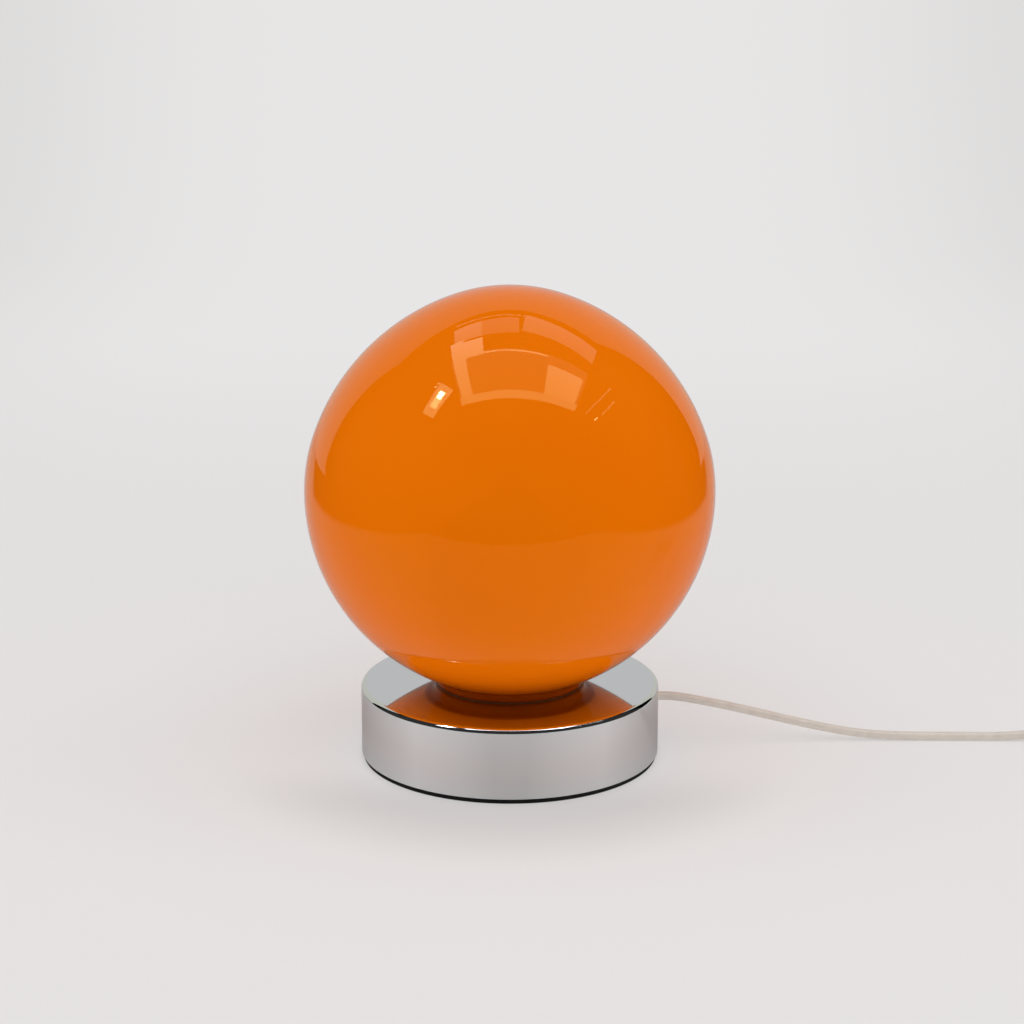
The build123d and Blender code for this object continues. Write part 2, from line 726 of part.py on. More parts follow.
def make_plug_body():
    relief = Pos(plug_relief_length / 2, 0, 0) * Rot(0, 90, 0) * Cone(
        plug_relief_tip_radius, plug_back_thickness / 2 - 0.4, plug_relief_length)
    back = Plane.YZ.offset(plug_relief_length) * Rectangle(plug_back_width, plug_back_thickness)
    shoulder_at = plug_relief_length + plug_body_length - plug_nose_length
    front = Plane.YZ.offset(shoulder_at) * Rectangle(plug_width, plug_thickness)
    nose = Pos(shoulder_at + plug_nose_length / 2, 0, 0) * Box(plug_nose_length, plug_width, plug_thickness)
    nose = chamfer(nose.edges().filter_by(Axis.Z).sort_by(Axis.X)[-2:], 3.0)
    body = relief + loft([back, front]) + nose
    bore = Pos(plug_grip / 2, 0, 0) * Rot(0, 90, 0) * Cylinder(flex_radius + 3 * flex_gap, plug_grip)
    body = cut(body - bore, relief_slots())
    for y in (pin_spacing / 2, -pin_spacing / 2):
        root = plug_relief_length + plug_body_length - 4
        body -= Pos(root, y, 0) * Rot(0, 90, 0) * Cylinder(sleeve_radius + pin_gap, 8)
    return plug_frame() * body


def relief_slots():
    """Slots from both sides of the plug's strain relief, then from above and below."""
    slots = []
    for i, x in enumerate((7.5, 10.5, 13.5)):
        for side in (1, -1):
            slot = Pos(x, side * (plug_grip + flex_radius), 0) * Box(1.4, 2 * plug_grip, 20)
            slots.append(Rot(90 * (i % 2), 0, 0) * slot)
    return slots


def at_pins(piece):
    face = plug_relief_length + plug_body_length
    return Compound(children=[
        plug_frame() * Pos(face, y, 0) * Rot(0, 90, 0) * piece for y in (pin_spacing / 2, -pin_spacing / 2)])


parts["plug_body"] = make_plug_body()
parts["plug_pins"] = at_pins(
    disc(pin_radius, sleeve_length, pin_length) + disc(1.4, -4, sleeve_length))
parts["pin_sleeves"] = at_pins(ring(sleeve_radius, 1.4 + pin_gap, -4, sleeve_length))


os.makedirs("parts", exist_ok=True)
for name, shape in parts.items():
    export_step(shape, f"parts/{name}.step")
print(len(parts), "sub-parts written")
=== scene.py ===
import json
from math import atan2, cos, pi, radians, sin, tan

import bmesh
import bpy
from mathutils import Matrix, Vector


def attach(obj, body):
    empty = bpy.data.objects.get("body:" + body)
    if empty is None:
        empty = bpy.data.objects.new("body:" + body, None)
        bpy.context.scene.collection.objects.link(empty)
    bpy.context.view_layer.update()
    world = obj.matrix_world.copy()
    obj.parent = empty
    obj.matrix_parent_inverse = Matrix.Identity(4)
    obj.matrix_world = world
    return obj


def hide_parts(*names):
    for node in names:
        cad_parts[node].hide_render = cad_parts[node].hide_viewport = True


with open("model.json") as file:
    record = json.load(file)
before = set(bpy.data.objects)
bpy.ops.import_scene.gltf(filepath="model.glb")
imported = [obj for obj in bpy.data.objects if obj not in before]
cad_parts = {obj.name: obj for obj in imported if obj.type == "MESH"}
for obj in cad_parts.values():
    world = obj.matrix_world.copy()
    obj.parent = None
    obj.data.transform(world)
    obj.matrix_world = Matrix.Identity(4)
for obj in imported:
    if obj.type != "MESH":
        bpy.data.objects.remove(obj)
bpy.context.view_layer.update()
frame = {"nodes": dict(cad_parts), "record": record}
scene = bpy.context.scene
print("frame loaded:", len(frame["nodes"]), "nodes")


# helpers that make pieces: drawn profiles, turned or wound, and eased copies of CAD nodes

def startProfile(radius, height):
    # one vertex in the XZ plane, from which a profile is drawn
    bm = bmesh.new()
    return bm, bm.verts.new((radius, 0, height))


def lineTo(bm, last, radius, height):
    vert = bm.verts.new((radius, 0, height))
    bm.edges.new((last, vert))
    return vert


def arcTo(bm, last, centreRadius, centreHeight, turn, steps):
    # turns the last vertex about a centre, positive from +X towards +Z
    spun = bmesh.ops.spin(bm, geom=[last], cent=(centreRadius, 0, centreHeight),
                          axis=(0, -1, 0), angle=turn, steps=steps)
    return next(item for item in spun["geom_last"] if isinstance(item, bmesh.types.BMVert))


def latheTurn(bm, steps):
    # spins a drawn profile once round the lamp's axis
    bmesh.ops.spin(bm, geom=bm.verts[:] + bm.edges[:], cent=(0, 0, 0), axis=(0, 0, 1),
                   angle=2 * pi, steps=steps, use_merge=True)
    bmesh.ops.remove_doubles(bm, verts=bm.verts, dist=1e-6)
    bmesh.ops.dissolve_degenerate(bm, edges=bm.edges, dist=1e-7)


def finishPiece(bm, name, slot, body, node, turnOut=True):
    # a smooth-shaded object in its finish, which rides on its body and stands for its CAD node
    if turnOut:
        bmesh.ops.recalc_face_normals(bm, faces=bm.faces)
    mesh = bpy.data.meshes.new(name)
    bm.to_mesh(mesh)
    bm.free()
    for face in mesh.polygons:
        face.use_smooth = True
    piece = bpy.data.objects.new(name, mesh)
    scene.collection.objects.link(piece)
    mesh.materials.append(finishes[slot])
    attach(piece, body)
    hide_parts(node)
    return piece


def sharpen(piece, degrees):
    # keeps edges over an angle sharp under smooth shading
    piece.data.set_sharp_from_angle(angle=radians(degrees))


easing = {
    "weld": 2e-6,
    "flat": 0.4,  # faces that meet flatter than this, in degrees, become one
    "corner": 32,
    "segments": 2,
}


def softened(node, edge=0.0):
    # a merged copy of a CAD node, in its place, with its sharp edges eased
    bm = bmesh.new()
    bm.from_mesh(frame["nodes"][node].data)
    bmesh.ops.remove_doubles(bm, verts=bm.verts, dist=easing["weld"])
    bmesh.ops.dissolve_limit(bm, angle_limit=radians(easing["flat"]), verts=bm.verts, edges=bm.edges)
    if edge:
        sharp = radians(easing["corner"])
        corners = [e for e in bm.edges if e.is_manifold and e.calc_face_angle() > sharp]
        bmesh.ops.bevel(bm, geom=corners, offset=edge, offset_type="OFFSET", affect="EDGES",
                        segments=easing["segments"], profile=0.5, material=-1, clamp_overlap=True)
    name = "".join(word.capitalize() if i else word for i, word in enumerate(node.split("_")))
    piece = finishPiece(bm, name + "Piece", slotOf[node], bodyOf[node], node, turnOut=False)
    sharpen(piece, easing["corner"])
    return piece


def addThread(bm, foot, root, crest, start, turns):
    # a rolled screw thread: a rounded ridge wound up the axis, sunk a little into its wall
    pitch, steps, bottom = bulb["threadPitch"], bulb["threadSteps"], foot + start
    low, high = bottom - pitch * 0.42, bottom + pitch * 0.42
    sunk = root - 0.12 * (crest - root)
    ridge = [(sunk, low), (root + 0.35 * (crest - root), bottom - pitch * 0.26),
             (root + 0.86 * (crest - root), bottom - pitch * 0.12), (crest, bottom),
             (root + 0.86 * (crest - root), bottom + pitch * 0.12),
             (root + 0.35 * (crest - root), bottom + pitch * 0.26), (sunk, high)]
    face = bm.faces.new([bm.verts.new((radius, 0, height)) for radius, height in ridge])
    bmesh.ops.spin(bm, geom=[face], cent=(0, 0, 0), axis=(0, 0, 1), angle=2 * pi * turns,
                   dvec=(0, 0, pitch / steps), steps=round(steps * turns))


def turnProfile(corners, foot, steps):
    # lathe-turned ring from (radius, height) corners in millimetres over its foot
    bm, first = startProfile(corners[0][0] / 1000, foot + corners[0][1] / 1000)
    last = first
    for radius, height in corners[1:]:
        last = lineTo(bm, last, radius / 1000, foot + height / 1000)
    bm.edges.new((last, first))
    latheTurn(bm, steps)
    return bm


# finishes, all procedural

def newFinish(name, color, roughness, metallic=0.0):
    material = bpy.data.materials.new(name)
    material.use_nodes = True
    shader = material.node_tree.nodes["Principled BSDF"]
    shader.inputs["Base Color"].default_value = (*color, 1)
    shader.inputs["Roughness"].default_value = roughness
    shader.inputs["Metallic"].default_value = metallic
    shader.inputs["IOR"].default_value = 1.5
    return material, material.node_tree, shader


def addNoise(tree, scale, detail=3.0):
    coordinates = tree.nodes.new("ShaderNodeTexCoord")
    noise = tree.nodes.new("ShaderNodeTexNoise")
    noise.inputs["Scale"].default_value = scale
    noise.inputs["Detail"].default_value = detail
    noise.inputs["Roughness"].default_value = 0.5
    tree.links.new(coordinates.outputs["Object"], noise.inputs["Vector"])
    return noise


def addBump(tree, shader, noise, distance):
    bump = tree.nodes.new("ShaderNodeBump")
    bump.inputs["Strength"].default_value = 1.0
    bump.inputs["Distance"].default_value = distance
    tree.links.new(noise.outputs["Fac"], bump.inputs["Height"])
    tree.links.new(bump.outputs["Normal"], shader.inputs["Normal"])


def addTint(tree, shader, noise, dark, light):
    # mottles the base colour between two near tones, over the middle of the noise's range
    ramp = tree.nodes.new("ShaderNodeValToRGB")
    for stop, position, color in zip(ramp.color_ramp.elements, (0.35, 0.65), (dark, light)):
        stop.position = position
        stop.color = (*color, 1)
    tree.links.new(noise.outputs["Fac"], ramp.inputs["Fac"])
    tree.links.new(ramp.outputs["Color"], shader.inputs["Base Color"])


def addRoughness(tree, shader, noise, low, high):
    spread = tree.nodes.new("ShaderNodeMapRange")
    spread.inputs["To Min"].default_value = low
    spread.inputs["To Max"].default_value = high
    tree.links.new(noise.outputs["Fac"], spread.inputs["Value"])
    tree.links.new(spread.outputs["Result"], shader.inputs["Roughness"])


def addMath(tree, operation, *values):
    # a chain of one operation over numbers and sockets
    result = values[0]
    for value in values[1:]:
        node = tree.nodes.new("ShaderNodeMath")
        node.operation = operation
        for socket, source in zip(node.inputs, (result, value)):
            if isinstance(source, bpy.types.NodeSocket):
                tree.links.new(source, socket)
            else:
                socket.default_value = source
        result = node.outputs["Value"]
    return result


def addSpread(tree, source, low, high, first, last, slope="SMOOTHSTEP"):
    # runs from one value to another between two places, eased unless the slope is linear
    spread = tree.nodes.new("ShaderNodeMapRange")
    spread.interpolation_type = slope
    for socket, value in zip(("From Min", "From Max", "To Min", "To Max"), (low, high, first, last)):
        spread.inputs[socket].default_value = value
    tree.links.new(source, spread.inputs["Value"])
    return spread.outputs["Result"]


def addMix(tree, factor, first, second):
    # one colour or socket turning into another
    mix = tree.nodes.new("ShaderNodeMix")
    mix.data_type = "RGBA"
    for name, source in (("A", first), ("B", second)):
        if isinstance(source, bpy.types.NodeSocket):
            tree.links.new(source, mix.inputs[name])
        else:
            mix.inputs[name].default_value = (*source, 1)
    tree.links.new(factor, mix.inputs["Factor"])
    return mix.outputs["Result"]


def addPlace(tree, output):
    # the three coordinates of a place, in the object's space or as a direction
    place = tree.nodes.new("ShaderNodeTexCoord")
    split = tree.nodes.new("ShaderNodeSeparateXYZ")
    tree.links.new(place.outputs[output], split.inputs["Vector"])
    return split.outputs["X"], split.outputs["Y"], split.outputs["Z"]


def addPolished(tree, path):
    # 1 for the rays of polished surfaces, as long as no matte one has turned them before
    return addMath(tree, "MULTIPLY", path.outputs["Is Glossy Ray"],
                   addMath(tree, "LESS_THAN", path.outputs["Diffuse Depth"], 0.5))


amber = {
    "deep": (0.790, 0.157, 0.0008),
    "light": (0.812, 0.167, 0.0012),
    # painted shade: the neck's darker tone stands in for the shade in and around the neck
    "neck": (0.43, 0.063, 0.0004),
    "paintedNeckShadeTop": (0.0529, 0.0543),  # where the painted shade on the neck gives way to the ball's own tone
    "gloss": 0.27,
    "glossTint": (1.0, 0.90, 0.30),
}


def makeAmberGlass():
    # cased glass: deep orange over opal, with the slow waves of blown glass in its polish, and painted
    # shade darkening its neck
    material, tree, shader = newFinish("amberGlass", amber["light"], 0.02)
    shader.inputs["Specular IOR Level"].default_value = amber["gloss"]
    shader.inputs["Specular Tint"].default_value = (*amber["glossTint"], 1)
    addTint(tree, shader, addNoise(tree, 9.0, detail=2.0), amber["deep"], amber["light"])
    height = addPlace(tree, "Object")[2]
    cased = next(link.from_socket for link in tree.links if link.to_socket == shader.inputs["Base Color"])
    # painted shade: the neck's darker tone is blended in below the ball
    paintedNeckShade = addMix(tree, addSpread(tree, height, *amber["paintedNeckShadeTop"], 0, 1), amber["neck"], cased)
    tree.links.new(paintedNeckShade, shader.inputs["Base Color"])
    addBump(tree, shader, addNoise(tree, 14.0, detail=1.0), 0.0006)
    return material


def makeChrome():
    # bright nickel-chrome plate with a faint roll from the press
    material, tree, shader = newFinish("drumChrome", (0.815, 0.848, 0.862), 0.03, metallic=1.0)
    addBump(tree, shader, addNoise(tree, 9.0, detail=1.0), 0.0002)
    addRoughness(tree, shader, addNoise(tree, 60.0, detail=4.0), 0.02, 0.05)
    return material


def makeRubber():
    material, tree, shader = newFinish("footRubber", (0.006, 0.006, 0.006), 0.6)
    shader.inputs["Specular IOR Level"].default_value = 0.15
    addBump(tree, shader, addNoise(tree, 900.0), 0.0001)
    return material


def makeCreamJacket():
    # smooth flex jacket: pale cream, softly shiny
    material, tree, shader = newFinish("creamJacket", (0.61, 0.56, 0.50), 0.42)
    mottle = addNoise(tree, 120.0)
    addTint(tree, shader, mottle, (0.58, 0.53, 0.475), (0.63, 0.58, 0.52))
    addBump(tree, shader, addNoise(tree, 1400.0), 0.00004)
    return material


def makeMoulding(name, dark, light, roughness):
    # moulded plastic with a fine spark-eroded grain
    material, tree, shader = newFinish(name, light, roughness)
    addTint(tree, shader, addNoise(tree, 60.0), dark, light)
    addBump(tree, shader, addNoise(tree, 2500.0, detail=2.0), 0.00003)
    return material


def makeMetal(name, dark, light, roughness, grain):
    # plated or drawn metal with a fine grain
    material, tree, shader = newFinish(name, light, roughness, metallic=1.0)
    noise = addNoise(tree, grain, detail=4.0)
    addTint(tree, shader, noise, dark, light)
    addRoughness(tree, shader, noise, roughness * 0.8, roughness * 1.25)
    addBump(tree, shader, noise, 0.00002)
    return material


finishes = {
    "amber_glass": makeAmberGlass(),
    "drum_chrome": makeChrome(),
    "black_rubber": makeRubber(),
    "cream_jacket": makeCreamJacket(),
    "cream_moulding": makeMoulding("creamMoulding", (0.74, 0.70, 0.64), (0.80, 0.76, 0.70), 0.30),
    "live_brown": makeMoulding("liveBrown", (0.16, 0.07, 0.03), (0.20, 0.09, 0.04), 0.4),
    "neutral_blue": makeMoulding("neutralBlue", (0.03, 0.10, 0.32), (0.04, 0.13, 0.38), 0.4),
    "nylon_natural": makeMoulding("nylonNatural", (0.66, 0.63, 0.56), (0.72, 0.69, 0.62), 0.45),
    "white_holder": makeMoulding("whiteHolder", (0.76, 0.76, 0.74), (0.82, 0.82, 0.80), 0.25),
    "ceramic_white": makeMoulding("ceramicWhite", (0.78, 0.76, 0.71), (0.85, 0.83, 0.79), 0.18),
    "black_vitrite": makeMoulding("blackVitrite", (0.01, 0.01, 0.012), (0.02, 0.02, 0.022), 0.15),
    "clear_tie": makeMoulding("clearTie", (0.70, 0.70, 0.67), (0.78, 0.78, 0.76), 0.22),
    "zinc_steel": makeMetal("zincSteel", (0.50, 0.50, 0.50), (0.62, 0.62, 0.62), 0.28, 180.0),
    "spring_steel": makeMetal("springSteel", (0.36, 0.36, 0.38), (0.46, 0.46, 0.48), 0.30, 260.0),
    "ballast_iron": makeMetal("ballastIron", (0.05, 0.05, 0.055), (0.09, 0.09, 0.095), 0.65, 350.0),
    "plain_brass": makeMetal("plainBrass", (0.62, 0.43, 0.15), (0.74, 0.54, 0.22), 0.22, 220.0),
    "nickel_pins": makeMetal("nickelPins", (0.58, 0.56, 0.52), (0.68, 0.66, 0.62), 0.18, 220.0),
    "bulb_aluminium": makeMetal("bulbAluminium", (0.62, 0.62, 0.63), (0.72, 0.72, 0.73), 0.25, 200.0),
    "brown_rubber": makeMoulding("brownRubber", (0.15, 0.048, 0.004), (0.19, 0.060, 0.006), 0.5),
    "bulb_opal": makeMoulding("bulbOpal", (0.84, 0.84, 0.82), (0.88, 0.88, 0.86), 0.35),
}
slotOf = {part["node"]: part["material_slot"] for part in frame["record"]["subparts"]}
bodyOf = {node: body for body, held in frame["record"]["behaviour"]["bodies"].items() for node in held}
for nodeName, nodeObject in frame["nodes"].items():
    nodeObject.data.materials.clear()
    nodeObject.data.materials.append(finishes[slotOf[nodeName]])
print("finishes made:", len(finishes))


# the camera, and the flex that runs out of its view

cameraSetup = {
    "lens": 85.0,
    "elevation": 14.638,
    "distance": 1.4402,
    "aim": (0.0013, 0.0, 0.1505),
}


def makeCamera(setup):
    data = bpy.data.cameras.new("view")
    data.lens = setup["lens"]
    data.sensor_width = 36.0
    data.clip_start = 0.05
    data.clip_end = 60.0
    camera = bpy.data.objects.new("view", data)
    scene.collection.objects.link(camera)
    rise = radians(setup["elevation"])
    back = Vector((0, -cos(rise), sin(rise)))
    camera.location = Vector(setup["aim"]) + back * setup["distance"]
    camera.rotation_euler = (-back).to_track_quat("-Z", "Y").to_euler()
    scene.camera = camera


makeCamera(cameraSetup)

flex = {
    "radius": 0.0027,
    "exitAzimuth": 9.0,
    "exitRadius": 0.0908,
    "exitHeight": 0.0302,
    "straight": 0.0082,  # how far it runs straight out
    "switchY": 0.0173,
    "coilX": 0.451,
    "innerRadius": 0.0235,
    "pitch": 0.0059,
    "halfTurns": 6,
    "lowLayer": 0.0036,
    "pointsPerHalfTurn": 8,
    "length": 1.755,
}


def flexPoints():
    # out of the drum, down to the table, through the switch, round the coil and into the plug
    outward = Vector((cos(radians(flex["exitAzimuth"])), sin(radians(flex["exitAzimuth"])), 0))
    level = Vector((0, 0, flex["exitHeight"]))
    points = [outward * (flex["exitRadius"] + run) + level for run in (0, flex["straight"])]
    points += [
        (0.113, 0.0178, 0.0270), (0.137, 0.0200, 0.0213), (0.162, 0.0202, 0.0151),
        (0.187, 0.0193, 0.0095), (0.211, 0.0187, 0.0048), (0.237, 0.0183, 0.0027),
        (0.277, 0.0180, 0.0027), (0.314, 0.0173, 0.0027), (0.336, 0.0173, 0.0075),
        (0.358, 0.0173, 0.0075), (0.408, 0.0173, 0.0075), (0.424, 0.0173, 0.0075),
        (0.4356, 0.0173, 0.0036), (0.4456, 0.0173, 0.0036)]
    points += coilPoints()
    last = points[-1]
    points += [
        (0.4456, last[1], last[2]), (0.4366, last[1], last[2]), (0.425, last[1], 0.00685),
        (0.411, last[1], 0.00685)]
    return points


def coilPoints():
    # half turns that close in by half a pitch, a climbing half turn, and the same turns out again
    step = flex["pitch"] / 2
    radii = [flex["innerRadius"] + step * k for k in range(flex["halfTurns"], 0, -1)]
    count = flex["pointsPerHalfTurn"]
    swell = 1 / cos(pi / 2 / count)  # the spline runs inside its control points
    points, top, low = [], flex["switchY"], flex["lowLayer"]
    high = low + flex["pitch"]
    for turn, radius in enumerate(radii + [flex["innerRadius"]] + radii[::-1]):
        side = 1 if turn % 2 == 0 else -1
        centre = top - side * radius
        for k in range(count):
            angle = pi / 2 - pi * (k + 0.5) / count
            climb = 0 if turn < flex["halfTurns"] else 1
            if turn == flex["halfTurns"]:
                climb = (k + 0.5) / count
            points.append((
                flex["coilX"] + side * radius * swell * cos(angle),
                centre + side * radius * swell * sin(angle),
                low + (high - low) * climb))
        top = centre - side * radius
    points.append((flex["coilX"], top, high))
    return points


def makeFlex():
    points = flexPoints()
    curve = bpy.data.curves.new("flexCord", "CURVE")
    curve.dimensions = "3D"
    curve.bevel_depth = flex["radius"]
    curve.bevel_resolution = 4
    curve.resolution_u = 5
    curve.use_fill_caps = True
    spline = curve.splines.new("NURBS")
    spline.points.add(len(points) - 1)
    for point, place in zip(spline.points, points):
        point.co = (*place, 1)
    spline.order_u = 3
    spline.use_endpoint_u = True
    cord = bpy.data.objects.new("flexCord", curve)
    scene.collection.objects.link(cord)
    curve.materials.append(finishes["cream_jacket"])
    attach(cord, "base")
    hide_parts("flex_run", "flex_link", "flex_coil", "flex_tail")
    return cord, points[0]


flexCord, flexExit = makeFlex()

# what the flex carries: inline switch, tie and plug, with their moulded edges eased
easedOnFlex = {
    "switch_lower": 0.0007, "switch_upper": 0.0007, "switch_rocker": 0.0005, "rocker_pin": 0.0002,
    "switch_contacts": 0.0001, "coil_tie": 0.0002, "plug_body": 0.0009, "plug_pins": 0.0005,
    "pin_sleeves": 0.0001}
onFlex = [softened(name, edge) for name, edge in easedOnFlex.items()]
print("flex laid")


# the glass globe

globe = {
    "radius": 0.1219,
    "wall": 0.003,
    "centre": 0.16399,
    "shoulder": 0.0110,  # how far the shoulder's centre stands across the axis
    "shoulderFrom": 20.0,
    "neckRadius": 0.045,
    "neckBlend": 0.006,
    "neckBottom": 0.0459,
    "lip": 0.0009,
    "steps": 192,
}


def makeGlobe():
    # a blown ball, a little slack at its shoulders, with a short fire-polished neck
    radius, wall, centre = globe["radius"], globe["wall"], globe["centre"]
    offset, start, lip = globe["shoulder"], radians(globe["shoulderFrom"]), globe["lip"]
    reach = offset / tan(start) - offset
    neck, blend = globe["neckRadius"], globe["neckBlend"]
    blendHeight = centre - ((radius + blend) ** 2 - (neck + blend) ** 2) ** 0.5
    meet = atan2(blendHeight - centre, neck + blend)
    arcs = [
        (0, centre + reach, -start, 10),
        (-offset, centre - offset, 2 * start - pi / 2, 24),
        (reach, centre, -start, 10),
        (0, centre, meet, 36),
        (neck + blend, blendHeight, -meet, 12),
    ]
    bm, last = startProfile(0, centre + radius)
    for centreRadius, centreHeight, turn, steps in arcs:
        last = arcTo(bm, last, centreRadius, centreHeight, turn, steps)
    for edge in (neck, neck - wall + 2 * lip):
        last = lineTo(bm, last, edge, globe["neckBottom"] + (lip if edge == neck else 0))
        last = arcTo(bm, last, edge - lip, globe["neckBottom"] + lip, -pi / 2, 5)
    last = lineTo(bm, last, neck - wall, blendHeight)
    for centreRadius, centreHeight, turn, steps in arcs[::-1]:
        last = arcTo(bm, last, centreRadius, centreHeight, -turn, steps)
    latheTurn(bm, globe["steps"])
    finishPiece(bm, "globeGlass", "amber_glass", "globe", "glass_globe")


makeGlobe()
print("globe blown")


# the base drum

drum = {
    "radius": 0.090,
    "top": 0.0454,
    "bottom": 0.0028,
    "wall": 0.0012,
    "edge": 0.0030,
    "hem": 0.0004,
    "stemHole": 0.0052,
    "steps": 256,
}


def makeDrum():
    # pressed shell: rounded top edge, thin wall, a hem at the foot and a hole for the stem
    radius, top, bottom = drum["radius"], drum["top"], drum["bottom"]
    wall, edge, hem = drum["wall"], drum["edge"], drum["hem"]
    bm, first = startProfile(drum["stemHole"], top)
    last = lineTo(bm, first, radius * 0.5, top)
    last = lineTo(bm, last, radius - edge, top)
    last = arcTo(bm, last, radius - edge, top - edge, -pi / 2, 14)
    last = lineTo(bm, last, radius, bottom + hem)
    last = arcTo(bm, last, radius - hem, bottom + hem, -pi / 2, 4)
    last = lineTo(bm, last, radius - wall, bottom)
    last = lineTo(bm, last, radius - wall, top - edge)
    last = arcTo(bm, last, radius - edge, top - edge, pi / 2, 6)
    last = lineTo(bm, last, drum["stemHole"], top - wall)
    bm.edges.new((last, first))
    latheTurn(bm, drum["steps"])
    piece = finishPiece(bm, "drumShell", "drum_chrome", "base", "base_shell")
    sharpen(piece, 50)


makeDrum()
easedOnBase = {
    "foot_pad": 0.0003, "strain_relief": 0.0003, "spring_collar": 0.0002, "leaf_springs": 0.0001,
    "leaf_rivets": 0.0002, "seat_gasket": 0.0, "holder_cap": 0.0005, "holder_insert": 0.0003,
    "terminals": 0.0002, "centre_contact": 0.0001, "stem": 0.0002, "stem_nut": 0.0003,
    "plate_screws": 0.0002}
for name, edge in easedOnBase.items():
    softened(name, edge)
print("drum pressed")


# the bulb, and the lampholder that grips it

bulb = {
    "radius": 0.030,
    "bulge": 0.1512,
    "wall": 0.001,
    "neckRadius": 0.0120,
    "neckBottom": 0.0934,
    "flareFrom": -40.0,
    "threadPitch": 0.00363,
    "threadSteps": 40,
    "capThread": (0.0123, 0.0131, 0.0089, 3.6),  # root, crest, start over the foot, turns
    "shellThread": (0.0134, 0.01315, 0.0033, 5.2),
    "tipHeight": 0.0732,
    "shellHeight": 0.0706,
    "skirtHeight": 0.0656,
    "steps": 96,
}


def makeBulbGlass():
    # opal envelope: straight neck, one flare, round crown
    radius, bulge, wall = bulb["radius"], bulb["bulge"], bulb["wall"]
    neck, start = bulb["neckRadius"], radians(bulb["flareFrom"])
    flare = (radius * cos(start) - neck) / (1 - cos(start))
    flareHeight = bulge + (radius + flare) * sin(start)
    bm, last = startProfile(0, bulge + radius)
    last = arcTo(bm, last, 0, bulge, start - pi / 2, 32)
    last = arcTo(bm, last, neck + flare, flareHeight, -start, 12)
    last = lineTo(bm, last, neck, bulb["neckBottom"])
    last = lineTo(bm, last, neck - wall, bulb["neckBottom"])
    last = lineTo(bm, last, neck - wall, flareHeight)
    last = arcTo(bm, last, neck + flare, flareHeight, start, 8)
    arcTo(bm, last, 0, bulge, pi / 2 - start, 20)
    latheTurn(bm, bulb["steps"])
    piece = finishPiece(bm, "bulbEnvelope", "bulb_opal", "bulb", "bulb_glass")
    sharpen(piece, 50)


def makeBulbCap():
    # rolled aluminium cap with its thread, flared at the rim
    corners = [(4.5, 1.5), (5.2, 1.6), (10.9, 4.8), (12.0, 5.8), (12.3, 6.8), (12.3, 23.3), (12.8, 24.0),
               (13.1, 24.5), (13.1, 25.8), (12.9, 26.0), (12.2, 26.0), (12.05, 25.8), (12.05, 6.9),
               (11.6, 6.1), (4.5, 2.6)]
    bm = turnProfile(corners, bulb["tipHeight"], bulb["steps"])
    addThread(bm, bulb["tipHeight"], *bulb["capThread"])
    piece = finishPiece(bm, "bulbCap", "bulb_aluminium", "bulb", "bulb_cap")
    sharpen(piece, 40)


def makeScrewShell():
    # brass shell with its thread pressed inwards
    corners = [(11.8, 0), (13.8, 0), (13.8, 23.7), (13.6, 24.0), (13.4, 23.7), (13.4, 0.9), (13.1, 0.4),
               (11.8, 0.4)]
    bm = turnProfile(corners, bulb["shellHeight"], bulb["steps"])
    addThread(bm, bulb["shellHeight"], *bulb["shellThread"])
    piece = finishPiece(bm, "screwShell", "plain_brass", "base", "screw_shell")
    sharpen(piece, 40)


grip = {
    "bar": (0.0008, 0.0011, 0.0044),
    "radius": 0.0201,
    "middle": 0.0031,
    "edge": 0.00022,
    "count": 48,
}


def makeSkirt():
    # white moulded ring round the screw shell, with a gripped collar at its foot
    corners = [(18.2, 0), (19.8, 0), (20.2, 0.4), (20.2, 5.9), (20.0, 6.3), (19.7, 6.6), (19.7, 7.5),
               (19.9, 7.9), (19.55, 29.9), (19.3, 30.6), (18.7, 31.0), (15.2, 31.0), (14.6, 30.7),
               (14.4, 30.1), (14.4, 5.6), (18.2, 5.6)]
    bm = turnProfile(corners, bulb["skirtHeight"], bulb["steps"])
    bar = bmesh.ops.create_cube(bm, size=1.0)["verts"]
    bmesh.ops.scale(bm, verts=bar, vec=grip["bar"])
    bmesh.ops.translate(bm, verts=bar, vec=(grip["radius"], 0, bulb["skirtHeight"] + grip["middle"]))
    flanks = {edge for vert in bar for edge in vert.link_edges}
    edged = bmesh.ops.bevel(bm, geom=list(flanks), offset=grip["edge"], offset_type="OFFSET",
                            affect="EDGES", segments=1, profile=0.5, material=-1)
    rib = {face for vert in edged["verts"] for face in vert.link_faces}
    geometry = list(rib) + list({v for f in rib for v in f.verts}) + list({e for f in rib for e in f.edges})
    more = grip["count"] - 1
    bmesh.ops.spin(bm, geom=geometry, cent=(0, 0, 0), axis=(0, 0, 1), angle=2 * pi * more / grip["count"],
                   steps=more, use_duplicate=True)
    piece = finishPiece(bm, "holderSkirt", "white_holder", "base", "holder_skirt")
    sharpen(piece, 40)


makeBulbGlass()
makeBulbCap()
makeScrewShell()
makeSkirt()
for name, edge in {"bulb_insulator": 0.0002, "bulb_tip": 0.0004}.items():
    softened(name, edge)
print("bulb and lampholder made")


# the studio: paper sweep, air and lights

